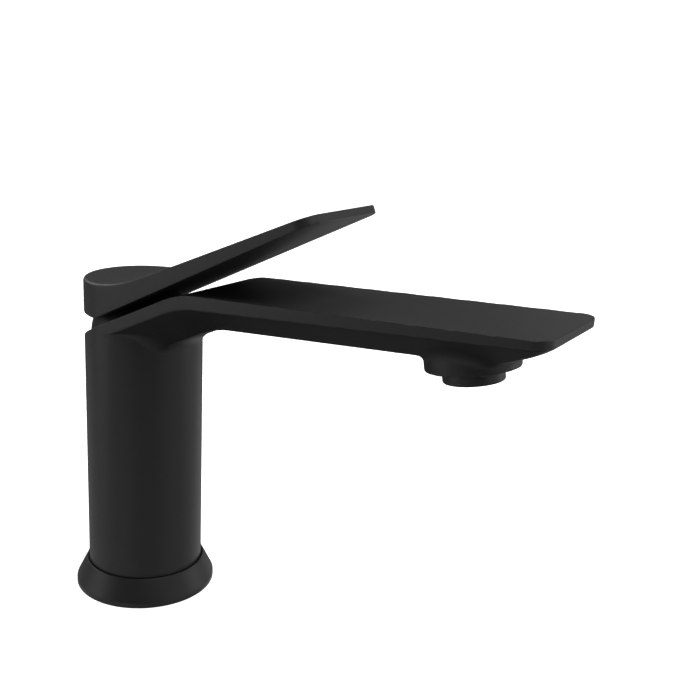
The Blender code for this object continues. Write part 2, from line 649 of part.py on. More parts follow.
def handle_plan():
    """Outline from above: half a circle, then straight sides to the lever's rounded corners."""
    corner_x = lever_tip()[1][0] - LEVER_CORNER
    corner_y = cap_radius - LEVER_CORNER
    near = arc((corner_x, -corner_y), LEVER_CORNER, -pi / 2, 0.0, 6)
    far = arc((corner_x, corner_y), LEVER_CORNER, 0.0, pi / 2, 6)
    back = arc((0.0, 0.0), cap_radius, pi / 2, 3 * pi / 2, FINE_STEPS)
    return near + far + back


def make_handle(black, pivot_frame, stem_frame):
    handle = prism("lever_handle", handle_profile(), -2 * cap_radius, 2 * cap_radius, "Y", black, pivot_frame)
    plan = prism("handle_plan", handle_plan(), -LEVER_LENGTH, 2 * LEVER_LENGTH, parent=pivot_frame)
    combine(handle, plan, "INTERSECT")
    cavity = bonnet_radius + CAVITY_ROOM
    roof_angle = asin(CAVITY_ROOF / cavity)
    dome_room = arc((0.0, 0.0), cavity, -pi / 2, roof_angle, 2 * DOME_STEPS)
    hub = [(HUB_RADIUS, CAVITY_ROOF), (HUB_RADIUS, HUB_BOTTOM), (0.0, HUB_BOTTOM)]
    hollow = turned("handle_hollow", dome_room + hub, parent=stem_frame)
    reach = STEM_HALF + GAP
    socket = box(
        "stem_socket", (-reach, -reach, HUB_BOTTOM - OVERCUT), (reach, reach, STEM_TOP + GAP),
        parent=stem_frame,
    )
    screw_bore = rod(
        "grub_screw_bore", (0, 0, GRUB_SCREW_AT), (-2 * cap_radius, 0, GRUB_SCREW_AT),
        GRUB_SCREW_RADIUS + GAP, parent=stem_frame, steps=SMALL_STEPS,
    )
    lean = TOP_SLOPE - STEM_LEAN
    wall_x = -(cap_radius - GRUB_SCREW_AT * sin(lean)) / cos(lean)
    plug_seat = wall_x + PLUG_HEAD + 2 * GAP
    counterbore = rod(
        "plug_counterbore", (plug_seat, 0, GRUB_SCREW_AT), (-2 * cap_radius, 0, GRUB_SCREW_AT),
        PLUG_RADIUS + GAP, parent=stem_frame, steps=SMALL_STEPS,
    )
    cut(handle, hollow, socket, screw_bore, counterbore)
    return plug_seat


def make_handle_screw(steel, cover, plug_seat, stem_frame):
    near = -(STEM_HALF + 2 * GAP)
    screw = rod(
        "handle_grub_screw", (near - GRUB_SCREW_LENGTH, 0, GRUB_SCREW_AT), (near, 0, GRUB_SCREW_AT),
        GRUB_SCREW_RADIUS, steel, stem_frame, SMALL_STEPS,
    )
    key = rod(
        "grub_screw_key", (near - GRUB_SCREW_LENGTH - OVERCUT, 0, GRUB_SCREW_AT),
        (near - GRUB_SCREW_LENGTH / 2, 0, GRUB_SCREW_AT), GRUB_SCREW_KEY, parent=stem_frame, steps=6,
    )
    cut(screw, key)
    head_in = plug_seat - GAP
    plug = rod(
        "screw_cover_plug", (head_in - PLUG_HEAD, 0, GRUB_SCREW_AT), (head_in, 0, GRUB_SCREW_AT), PLUG_RADIUS,
        cover, stem_frame, SMALL_STEPS,
    )
    stub = rod(
        "plug_stub", (head_in - GAP, 0, GRUB_SCREW_AT), (head_in + PLUG_STUB, 0, GRUB_SCREW_AT),
        GRUB_SCREW_RADIUS, parent=stem_frame, steps=SMALL_STEPS,
    )
    join(plug, stub)


# ---------------------------------------------------------------- aerator
def hole_rows(pitch, rows):
    """Centres of a hexagonal pattern of holes."""
    centres = []
    for row in range(-rows, rows + 1):
        count = 2 * rows + 1 - abs(row)
        for column in range(count):
            centres.append(((column - (count - 1) / 2) * pitch, row * pitch * sqrt(3) / 2))
    return centres


def perforated(name, radius, bottom, top, hole, rows, material, frame):
    """A disc with a hexagonal pattern of round holes, cut in one go."""
    plate = disc(name, radius, bottom, top, material, frame, FINE_STEPS)
    pitch = (radius - hole) / (rows + 0.5)
    bm = bmesh.new()
    height = top - bottom + 2 * OVERCUT
    for x, y in hole_rows(pitch, rows):
        place = Matrix.Translation((x, y, (bottom + top) / 2))
        bmesh.ops.create_cone(
            bm, cap_ends=True, segments=HOLE_STEPS, radius1=hole, radius2=hole, depth=height, matrix=place
        )
    cut(plate, make_object(name + "_holes", bm, parent=frame))


def make_aerator(black, plastic, mesh_steel, rubber, frame):
    mouth = aerator_inner - AERATOR_LIP
    lip_top = -AERATOR_DROP + AERATOR_LIP
    chamfer = 2 * GAP
    turned(
        "aerator_collar",
        [(mouth, -AERATOR_DROP), (AERATOR_RADIUS - chamfer, -AERATOR_DROP),
         (AERATOR_RADIUS, -AERATOR_DROP + chamfer), (AERATOR_RADIUS, -GAP), (aerator_thread_radius, -GAP),
         (aerator_thread_radius, AERATOR_THREAD), (aerator_inner, AERATOR_THREAD), (aerator_inner, lip_top),
         (mouth, lip_top)],
        black, frame,
    )
    core = aerator_inner - GAP
    insert_bottom = lip_top + GAP
    insert_top = insert_bottom + INSERT_HEIGHT
    screen_top = insert_top + GAP + SCREEN_HEIGHT
    regulator_top = screen_top + GAP + REGULATOR_HEIGHT
    perforated("aerator_insert", core, insert_bottom, insert_top, JET_RADIUS, 2, plastic, frame)
    screen_bottom = screen_top - SCREEN_HEIGHT
    perforated("aerator_screen", core, screen_bottom, screen_top, SCREEN_HOLE, 2, mesh_steel, frame)
    perforated("flow_regulator", core, screen_top + GAP, regulator_top, 1.5 * JET_RADIUS, 1, plastic, frame)
    washer_bottom = AERATOR_THREAD + GAP
    washer_top = washer_bottom + WASHER_HEIGHT
    washer_bore = OUTLET_BORE + WASHER_SETBACK
    ring("aerator_washer", washer_bore, aerator_thread_radius, washer_bottom, washer_top, rubber, frame)


# ---------------------------------------------------------------- assembly
def build():
    for obj in list(bpy.data.objects):
        bpy.data.objects.remove(obj)

    black = finish("matte_black_coating", (0.022, 0.022, 0.023), 0.42, 0.0)
    brass = finish("brass", (0.60, 0.43, 0.18), 0.35, 1.0)
    steel = finish("stainless_steel", (0.55, 0.55, 0.56), 0.30, 1.0)
    white_plastic = finish("acetal", (0.80, 0.80, 0.78), 0.45, 0.0)
    grey_plastic = finish("glass_filled_nylon", (0.16, 0.17, 0.18), 0.55, 0.0)
    red_plastic = finish("red_acetal", (0.45, 0.03, 0.02), 0.45, 0.0)
    ceramic = finish("alumina", (0.85, 0.83, 0.80), 0.20, 0.0)
    rubber = finish("nitrile_rubber", (0.015, 0.015, 0.015), 0.75, 0.0)

    cartridge_frame = make_empty("cartridge_axis", pivot, -TOP_SLOPE)
    outlet_frame = make_empty("outlet_axis", outlet_face, -OUTLET_TILT)
    turn_frame = make_empty("temperature_axis", pivot, -TOP_SLOPE)
    slide_frame = make_empty("disc_slide", (disc_offset, 0.0, 0.0), parent=turn_frame)
    lever_frame = make_empty("lever_pivot", pivot)
    stem_frame = make_empty("stem_axis", (0.0, 0.0, 0.0), STEM_LEAN - TOP_SLOPE, lever_frame)

    make_body(black, cartridge_frame, outlet_frame)
    make_base(black, rubber)
    make_bonnet(black, cartridge_frame)
    make_nut(brass, cartridge_frame)
    make_housing(grey_plastic, rubber, cartridge_frame)
    make_cartridge_foot(white_plastic, ceramic, rubber, cartridge_frame)
    make_rotor(white_plastic, red_plastic, steel, turn_frame)
    make_sliding_disc(white_plastic, ceramic, slide_frame)
    make_stem(brass, stem_frame)
    plug_seat = make_handle(black, lever_frame, stem_frame)
    make_handle_screw(steel, black, plug_seat, stem_frame)
    make_aerator(black, white_plastic, steel, rubber, outlet_frame)


build()
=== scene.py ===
import json
from math import acos, asin, cos, pi, radians, sin, sqrt, tan

import bmesh
import bpy
import numpy as np
from mathutils import Matrix, Vector


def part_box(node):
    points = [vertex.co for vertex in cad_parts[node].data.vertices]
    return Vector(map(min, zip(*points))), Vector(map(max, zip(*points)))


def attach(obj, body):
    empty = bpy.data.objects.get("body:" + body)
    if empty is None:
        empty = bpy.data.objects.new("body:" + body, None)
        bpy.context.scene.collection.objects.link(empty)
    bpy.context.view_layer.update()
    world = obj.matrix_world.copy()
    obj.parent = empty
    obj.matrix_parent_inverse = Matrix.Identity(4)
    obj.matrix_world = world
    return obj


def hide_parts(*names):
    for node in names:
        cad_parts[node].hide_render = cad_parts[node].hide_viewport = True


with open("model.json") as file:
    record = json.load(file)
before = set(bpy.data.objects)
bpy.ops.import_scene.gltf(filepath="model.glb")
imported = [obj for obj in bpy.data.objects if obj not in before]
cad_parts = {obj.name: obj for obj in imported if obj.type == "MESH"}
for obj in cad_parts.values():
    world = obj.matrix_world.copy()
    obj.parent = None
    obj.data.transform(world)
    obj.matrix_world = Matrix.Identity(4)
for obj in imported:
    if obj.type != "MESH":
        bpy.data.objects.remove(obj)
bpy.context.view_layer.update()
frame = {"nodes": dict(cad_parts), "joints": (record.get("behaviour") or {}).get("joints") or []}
cadNodes = frame["nodes"]
joints = {joint["name"]: joint for joint in frame["joints"]}
print("frame loaded,", len(cadNodes), "pieces")

mm = 0.001  # shapes are worked out in millimetres, and made in metres


def boxOf(node):
    low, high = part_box(node)
    return np.array(low) / mm, np.array(high) / mm


# what every piece shares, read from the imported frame
bodyLow, bodyHigh = boxOf("body_casting")
handleLow, handleHigh = boxOf("lever_handle")
ringLow, ringHigh = boxOf("base_ring")
pivot = np.array(joints["lever_lift"]["pos_m"]) / mm
cartridgeUp = np.array(joints["temperature_turn"]["axis"])
topSlope = acos(cartridgeUp[2])
flare = 5.4  # how far the foot's ring stands out past the column
columnRadius = round(ringHigh[1] - flare, 4)
spoutTip = bodyHigh[0]
gap = 0.3  # clearance between pieces that fit together


# tools for shapes given as distance fields

def meet(a, b, rounding):
    # what two solids share, with a round outer edge
    outside = np.hypot(np.maximum(a + rounding, 0.0), np.maximum(b + rounding, 0.0))
    return np.minimum(np.maximum(a, b) + rounding, 0.0) + outside - rounding


def melt(a, b, rounding):
    # two solids as one, with a round fillet in the inner corner
    return -meet(-a, -b, rounding)


def easeIn(value):
    value = np.clip(value, 0.0, 1.0)
    return value * value * (3.0 - 2.0 * value)


def rodField(x, y, z, start, end, radius):
    start, end = np.array(start, float), np.array(end, float)
    length = np.linalg.norm(end - start)
    axis = (end - start) / length
    along = (x - start[0]) * axis[0] + (y - start[1]) * axis[1] + (z - start[2]) * axis[2]
    square = (x - start[0]) ** 2 + (y - start[1]) ** 2 + (z - start[2]) ** 2
    radial = np.sqrt(np.maximum(square - along ** 2, 1e-12))
    return np.maximum(radial - radius, np.abs(along - length / 2) - length / 2)


def tiltedPlace(x, y, z, origin, up):
    # radius from a tilted axis in the XZ plane, and height along it
    height = (x - origin[0]) * up[0] + (z - origin[2]) * up[2]
    across = (x - origin[0]) * up[2] - (z - origin[2]) * up[0]
    return np.sqrt(across ** 2 + y ** 2), height


def bentLine(x, height, riseIn, riseOut, bendAt, reach):
    # height and rise of a line that turns softly from one rise to another
    along = np.clip(x - bendAt + reach, 0.0, 2 * reach)
    turned = (riseOut - riseIn) * along / (2 * reach)
    line = height + riseIn * (x - bendAt) + turned * along / 2
    return line + (riseOut - riseIn) * np.maximum(x - bendAt - reach, 0.0), riseIn + turned


skin = {
    "slopeReach": 0.02,  # how far a slope looks each way
    "pull": 0.04,        # how strongly a flat cell's point stays at its crossings' middle
    "slack": 0.1,        # how far a point may leave its cell, in cells
    "settleRounds": 3, "mostMove": 0.4, "leastSteepness": 0.25,
    "inward": 0.6,       # how far into its face a crisp corner's normal is read
    "crispAngle": radians(12),
}


def skinField(name, field, low, high, step):
    # skins a distance field with quads, with one point in each cell that the surface crosses
    lines = [np.arange(low[i] - 2 * step, high[i] + 3 * step, step) for i in range(3)]
    firstCorner = np.array([line[0] for line in lines])
    values = field(*np.meshgrid(*lines, indexing="ij"))
    shape = np.array(values.shape) - 1
    corners = [(i, j, k) for i in (0, 1) for j in (0, 1) for k in (0, 1)]
    atCorner = {c: values[tuple(slice(c[i], c[i] + shape[i]) for i in range(3))] for c in corners}
    inside = sum((atCorner[c] < 0).astype(np.int8) for c in corners)
    cells = np.argwhere((inside > 0) & (inside < 8))
    where = tuple(cells.T)
    cellNumber = np.full(shape, -1, np.int64)
    cellNumber[where] = np.arange(len(cells))

    def slopeAt(spots):
        reach = skin["slopeReach"]
        slope = np.empty_like(spots)
        for axis in range(3):
            shift = np.zeros(3)
            shift[axis] = reach
            slope[:, axis] = field(*(spots + shift).T) - field(*(spots - shift).T)
        return slope / (2 * reach)

    def normalAt(spots):
        slope = slopeAt(spots)
        return slope / np.maximum(np.linalg.norm(slope, axis=1), 1e-9)[:, None]

    # each point goes where the planes through its cell's crossings meet, so that edges stay crisp
    total, count = np.zeros((len(cells), 3)), np.zeros(len(cells))
    planes, offsets = np.zeros((len(cells), 3, 3)), np.zeros((len(cells), 3))
    for a in corners:
        for axis in range(3):
            if a[axis]:
                continue
            b = tuple(1 if i == axis else a[i] for i in range(3))
            valueA, valueB = atCorner[a][where], atCorner[b][where]
            crossed = (valueA < 0) != (valueB < 0)
            place = np.tile(np.array(a, float), (crossed.sum(), 1))
            place[:, axis] = valueA[crossed] / (valueA[crossed] - valueB[crossed])
            spot = firstCorner + (cells[crossed] + place) * step
            normal = normalAt(spot)
            total[crossed] += spot
            count[crossed] += 1
            planes[crossed] += normal[:, :, None] * normal[:, None, :]
            offsets[crossed] += normal * (normal * spot).sum(1)[:, None]
    middle = total / count[:, None]
    pull = skin["pull"] * np.eye(3)
    toSolve = offsets - np.einsum("nij,nj->ni", planes, middle)
    points = middle + np.linalg.solve(planes + pull, toSolve[:, :, None])[:, :, 0]
    slack, most = skin["slack"], skin["mostMove"] * step
    points = np.clip(points, firstCorner + (cells - slack) * step, firstCorner + (cells + 1 + slack) * step)
    for _ in range(skin["settleRounds"]):
        slope = slopeAt(points)
        steepness = np.maximum((slope ** 2).sum(1), skin["leastSteepness"])
        move = -(field(*points.T) / steepness)[:, None] * slope
        points += np.clip(move, -most, most)

    faces = []
    for axis in range(3):
        sideA, sideB = (axis + 1) % 3, (axis + 2) % 3
        here = [slice(1, -1)] * 3
        here[axis] = slice(0, -1)
        ahead = list(here)
        ahead[axis] = slice(1, None)
        solidHere, solidAhead = values[tuple(here)] < 0, values[tuple(ahead)] < 0
        edges = np.argwhere(solidHere != solidAhead)
        leaving = solidHere[tuple(edges.T)]
        edges[:, sideA] += 1
        edges[:, sideB] += 1
        around = []
        for stepA, stepB in ((-1, -1), (0, -1), (0, 0), (-1, 0)):
            cell = edges.copy()
            cell[:, sideA] += stepA
            cell[:, sideB] += stepB
            around.append(cellNumber[tuple(cell.T)])
        quads = np.stack(around, 1)
        quads[~leaving] = quads[~leaving][:, ::-1]
        faces.append(quads)
    faces = np.concatenate(faces)

    # a face's corner takes the smooth normal, or on a crisp edge the one a little way into the face
    smooth = normalAt(points)[faces]
    centres = points[faces].mean(1)
    inward = points[faces] * (1 - skin["inward"]) + centres[:, None, :] * skin["inward"]
    own = normalAt(inward.reshape(-1, 3)).reshape(-1, 4, 3)
    crisp = (smooth * own).sum(2) < cos(skin["crispAngle"])
    normals = np.where(crisp[:, :, None], own, smooth)

    mesh = bpy.data.meshes.new(name)
    mesh.from_pydata((points * mm).tolist(), [], faces.tolist())
    mesh.shade_smooth()
    mesh.normals_split_custom_set(normals.reshape(-1, 3).tolist())
    return placed(name, mesh)


def placed(name, mesh):
    piece = bpy.data.objects.new(name, mesh)
    bpy.context.scene.collection.objects.link(piece)
    return piece


# tools for turned shapes

def roundedOutline(corners, cornerSteps=6):
    # a closed outline of (radius, height, rounding), with each corner turned into an arc
    points = []
    for index, (radius, height, rounding) in enumerate(corners):
        here = np.array((radius, height))
        before = np.array(corners[index - 1][:2]) - here
        after = np.array(corners[(index + 1) % len(corners)][:2]) - here
        if rounding == 0:
            points.append(tuple(here))
            continue
        before, after = before / np.linalg.norm(before), after / np.linalg.norm(after)
        halfTurn = acos(np.clip(before @ after, -1.0, 1.0)) / 2
        middle = (before + after) / np.linalg.norm(before + after)
        centre = here + middle * rounding / sin(halfTurn)
        reach = rounding / tan(halfTurn)
        start, end = here + before * reach - centre, here + after * reach - centre
        sweep = pi - 2 * halfTurn
        for stop in range(cornerSteps + 1):
            share = stop / cornerSteps
            mix = (sin((1 - share) * sweep) * start + sin(share * sweep) * end) / sin(sweep)
            points.append(tuple(centre + mix))
    return points


sharpAngle = radians(32)


def turnedPiece(name, outline, place, steps):
    # spins an outline of (radius, height) about Z, then moves it to its place
    bm = bmesh.new()
    verts = [bm.verts.new((radius * mm, 0.0, height * mm)) for radius, height in outline]
    edges = [bm.edges.new((verts[i - 1], verts[i])) for i in range(len(verts))]
    bmesh.ops.spin(bm, geom=verts + edges, cent=(0, 0, 0), axis=(0, 0, 1), angle=2 * pi, steps=steps)
    bmesh.ops.remove_doubles(bm, verts=bm.verts, dist=1e-6)
    bmesh.ops.recalc_face_normals(bm, faces=bm.faces)
    bmesh.ops.transform(bm, matrix=place, verts=bm.verts)
    mesh = bpy.data.meshes.new(name)
    bm.to_mesh(mesh)
    bm.free()
    mesh.shade_smooth()
    mesh.set_sharp_from_angle(angle=sharpAngle)
    return placed(name, mesh)


def placeAlong(origin, up):
    # a place whose Z runs along up, at an origin in millimetres
    turn = Vector(up).to_track_quat("Z", "Y").to_matrix().to_4x4()
    return Matrix.Translation(Vector(origin) * mm) @ turn


# tools for materials

def hexColour(code):
    shares = [int(code[i:i + 2], 16) / 255 for i in (1, 3, 5)]
    return tuple(s / 12.92 if s <= 0.04045 else ((s + 0.055) / 1.055) ** 2.4 for s in shares) + (1.0,)


def setInputs(tree, node, inputs):
    # an input that comes from another node is linked, and any other is set on the socket
    for socket, value in inputs.items():
        if isinstance(value, bpy.types.NodeSocket):
            tree.links.new(value, node.inputs[socket])
        else:
            node.inputs[socket].default_value = value


def addNode(tree, kind, inputs=None, **settings):
    node = tree.nodes.new(kind)
    for setting, value in settings.items():
        setattr(node, setting, value)
    setInputs(tree, node, inputs or {})
    return node


def perMetre(millimetres):
    # the scale a noise needs for grains of this size, on coordinates in metres
    return 1000.0 / millimetres


def newMaterial(name):
    material = bpy.data.materials.new(name)
    material.use_nodes = True
    tree = material.node_tree
    tree.nodes.clear()
    shader = addNode(tree, "ShaderNodeBsdfPrincipled")
    addNode(tree, "ShaderNodeOutputMaterial", {"Surface": shader.outputs["BSDF"]})
    place = addNode(tree, "ShaderNodeTexCoord").outputs["Object"]
    return material, tree, shader, place


# materials

def powderCoatOnBrass():
    # epoxy-polyester powder, sprayed and baked: satin black, a faint orange peel, and a dry, grainy gloss
    coat = {
        "deep": "#1b1b1c", "pale": "#222223", "peelMm": 1.6, "grainMm": 0.45, "cloudMm": 14.0,
        "smoothest": 0.40, "roughest": 0.52,
    }
    material, tree, shader, place = newMaterial("powderCoatOnBrass")
    cloud = addNode(tree, "ShaderNodeTexNoise", {
        "Vector": place, "Scale": perMetre(coat["cloudMm"]), "Detail": 3.0,
    })
    colour = addNode(tree, "ShaderNodeMix", {0: cloud.outputs["Fac"]}, data_type="RGBA")
    colour.inputs["A"].default_value = hexColour(coat["deep"])
    colour.inputs["B"].default_value = hexColour(coat["pale"])
    # real powder grit is about 0.1 mm, drawn coarser so that it shows
    grain = addNode(tree, "ShaderNodeTexNoise", {
        "Vector": place, "Scale": perMetre(coat["grainMm"]), "Detail": 2.0,
    })
    peel = addNode(tree, "ShaderNodeTexNoise", {
        "Vector": place, "Scale": perMetre(coat["peelMm"]), "Detail": 1.0,
    })
    gloss = addNode(tree, "ShaderNodeMapRange", {
        "Value": grain.outputs["Fac"], "To Min": coat["smoothest"], "To Max": coat["roughest"],
    })
    peelBump = addNode(tree, "ShaderNodeBump", {
        "Height": peel.outputs["Fac"], "Strength": 0.35, "Distance": 0.00006,
    })
    grainBump = addNode(tree, "ShaderNodeBump", {
        "Height": grain.outputs["Fac"], "Strength": 0.35, "Distance": 0.00002,
        "Normal": peelBump.outputs["Normal"],
    })
    setInputs(tree, shader, {
        "Base Color": colour.outputs["Result"], "Roughness": gloss.outputs["Result"], "IOR": 1.5,
        "Normal": grainBump.outputs["Normal"],
    })
    return material


def mouldedPlastic(name, pale, dark, roughness, speckMm, ior):
    # injection moulded: even colour with slight flow marks, and the tool's fine spark-eroded texture
    material, tree, shader, place = newMaterial(name)
    flow = addNode(tree, "ShaderNodeTexNoise", {
        "Vector": place, "Scale": perMetre(5.0), "Detail": 2.0, "Distortion": 0.6,
    })
    colour = addNode(tree, "ShaderNodeMix", {0: flow.outputs["Fac"]}, data_type="RGBA")
    colour.inputs["A"].default_value = hexColour(dark)
    colour.inputs["B"].default_value = hexColour(pale)
    speck = addNode(tree, "ShaderNodeTexNoise", {"Vector": place, "Scale": perMetre(speckMm), "Detail": 2.0})
    gloss = addNode(tree, "ShaderNodeMapRange", {
        "Value": speck.outputs["Fac"], "To Min": roughness - 0.06, "To Max": roughness + 0.06,
    })
    bump = addNode(tree, "ShaderNodeBump", {
        "Height": speck.outputs["Fac"], "Strength": 0.3, "Distance": 0.00002,
    })
    setInputs(tree, shader, {
        "Base Color": colour.outputs["Result"], "Roughness": gloss.outputs["Result"], "IOR": ior,
        "Normal": bump.outputs["Normal"],
    })
    return material


def mouldedNitrileRubber():
    # compression moulded and dusted with talc: dull charcoal with paler patches
    material, tree, shader, place = newMaterial("mouldedNitrileRubber")
    dust = addNode(tree, "ShaderNodeTexNoise", {
        "Vector": place, "Scale": perMetre(2.5), "Detail": 4.0, "Roughness": 0.7,
    })
    colour = addNode(tree, "ShaderNodeMix", {0: dust.outputs["Fac"]}, data_type="RGBA")
    colour.inputs["A"].default_value = hexColour("#131313")
    colour.inputs["B"].default_value = hexColour("#262524")
    bump = addNode(tree, "ShaderNodeBump", {
        "Height": dust.outputs["Fac"], "Strength": 0.4, "Distance": 0.00003,
    })
    setInputs(tree, shader, {
        "Base Color": colour.outputs["Result"], "Roughness": 0.78, "IOR": 1.52,
        "Normal": bump.outputs["Normal"],
    })
    return material


def workedMetal(name, pale, dark, roughness, lineMm, axis):
    # turned or drawn bar: fine tool lines across one axis, and slight staining between them
    material, tree, shader, place = newMaterial(name)
    squeeze = [0.08, 0.08, 0.08]
    squeeze["XYZ".index(axis)] = 1.0
    stretched = addNode(tree, "ShaderNodeMapping", {"Vector": place, "Scale": squeeze})
    lines = addNode(tree, "ShaderNodeTexNoise", {
        "Vector": stretched.outputs["Vector"], "Scale": perMetre(lineMm), "Detail": 3.0, "Roughness": 0.6,
    })
    stain = addNode(tree, "ShaderNodeTexNoise", {"Vector": place, "Scale": perMetre(6.0), "Detail": 4.0})
    colour = addNode(tree, "ShaderNodeMix", {0: stain.outputs["Fac"]}, data_type="RGBA")
    colour.inputs["A"].default_value = hexColour(dark)
    colour.inputs["B"].default_value = hexColour(pale)
    gloss = addNode(tree, "ShaderNodeMapRange", {
        "Value": lines.outputs["Fac"], "To Min": roughness - 0.08, "To Max": roughness + 0.08,
    })
    bump = addNode(tree, "ShaderNodeBump", {
        "Height": lines.outputs["Fac"], "Strength": 0.4, "Distance": 0.00003,
    })
    setInputs(tree, shader, {
        "Base Color": colour.outputs["Result"], "Metallic": 1.0, "Roughness": gloss.outputs["Result"],
        "Normal": bump.outputs["Normal"],
    })
    return material


def lappedAlumina():
    # sintered and lapped flat: near white, dense, with a few grey grains and a wet-looking gloss
    material, tree, shader, place = newMaterial("lappedAlumina")
    grains = addNode(tree, "ShaderNodeTexVoronoi", {"Vector": place, "Scale": perMetre(0.6)})
    tint = addNode(tree, "ShaderNodeMapRange", {"Value": grains.outputs["Distance"], "From Max": 0.9})
    colour = addNode(tree, "ShaderNodeMix", {0: tint.outputs["Result"]}, data_type="RGBA")
    colour.inputs["A"].default_value = hexColour("#ebe7de")
    colour.inputs["B"].default_value = hexColour("#d9d4c9")
    gloss = addNode(tree, "ShaderNodeMapRange", {
        "Value": grains.outputs["Distance"], "To Min": 0.12, "To Max": 0.22,
    })
    setInputs(tree, shader, {
        "Base Color": colour.outputs["Result"], "Roughness": gloss.outputs["Result"], "IOR": 1.77,
    })
    return material


powderCoat = powderCoatOnBrass()
castBrass = workedMetal("castAndMachinedBrass", "#c9a463", "#ad8443", 0.42, 0.5, "Z")
finishes = {
    "black_coating": powderCoat,
    "black_plastic": mouldedPlastic("mouldedBlackAbs", "#1e1e1f", "#19191a", 0.44, 0.4, 1.54),
    "rubber_seal": mouldedNitrileRubber(),
    "bare_brass": workedMetal("turnedBrass", "#d3ae6a", "#b98f4c", 0.30, 0.35, "Z"),
    "stainless_steel": workedMetal("drawnStainlessSteel", "#b9babc", "#98999c", 0.30, 0.3, "Y"),
    "grey_nylon": mouldedPlastic("mouldedGlassFilledNylon", "#5b5d60", "#4a4c4f", 0.55, 0.3, 1.53),
    "white_acetal": mouldedPlastic("mouldedWhiteAcetal", "#e9e7e0", "#dfdcd3", 0.40, 0.6, 1.48),
    "red_acetal": mouldedPlastic("mouldedRedAcetal", "#b3281d", "#9a1f16", 0.40, 0.6, 1.48),
    "ceramic": lappedAlumina(),
}
for cadNode in cadNodes.values():
    for materialSlot in cadNode.material_slots:
        materialSlot.material = finishes[materialSlot.material.name]
print("materials made")


# body: column, neck and spout, outlet boss

body = {
    "pivotDepth": 7.16,      # lever pivot to the sloping top
    "spigotStep": 3.0, "spigotHeight": 9.0,
    "spoutRise": tan(radians(3.25)), "spoutInset": 0.3, "spoutCorner": 6.8,
    "bendAt": 38.6, "bendReach": 7.5,
    "plateAtNeck": 5.35, "plateAtTip": 3.15,
    "neckHullDepth": 12.5, "hullDepth": 9.4, "hullHalfWidth": 12.0, "hullNose": 20.8,
    "outletTilt": radians(9.5), "bossRadius": 16.6, "bossEdge": 0.5,
    "columnEdge": 0.8, "plateEdge": 0.3, "hullEdge": 0.5, "columnFillet": 3.0, "bossFillet": 2.6,
    "noseReach": 8.0, "bonnetMargin": 2.6, "boreEdge": 0.3,
    "washerUp": 6.7,         # the aerator's washer, up the outlet's axis from its face
    "step": 0.79,
}
bores = {
    "bonnetSeat": 3.3, "nutRadius": 15.0, "nutFloor": -0.5, "cartridgeRadius": 12.8, "cartridgeFloor": -19.9,
    "aeratorRadius": 10.1, "aeratorDepth": 7.9, "waterRadius": 5.0, "waterDepth": 12.4,
    "hoseAside": 9.5, "hoseDepth": 16, "hoseRadius": 4.25,
    "studBack": 13.5, "studDepth": 18, "studRadius": 3.4,
    "hollowRadius": 17.0, "hollowFrom": 10.0, "hollowTop": 60.0,
    "grooveFloor": 18.7, "grooveMouth": 24.0, "grooveAt": 5.3, "grooveHalf": 1.3,
}
topRise = tan(topSlope)
bodyHeight = pivot[2] + body["pivotDepth"] / cos(topSlope)
bendTop = bodyHeight + body["bendAt"] * topRise
underRise = body["spoutRise"] + (body["plateAtNeck"] - body["plateAtTip"]) / (spoutTip - body["bendAt"])
hullBendAt = body["bendAt"] + (body["neckHullDepth"] - body["hullDepth"]) / (topRise - underRise)
hullBend = bendTop - body["plateAtNeck"] - body["hullDepth"] + underRise * (hullBendAt - body["bendAt"])
outletUp = np.array([-sin(body["outletTilt"]), 0.0, cos(body["outletTilt"])])
washerLow, washerHigh = boxOf("aerator_washer")
outletFace = (washerLow + washerHigh) / 2 - outletUp * body["washerUp"]


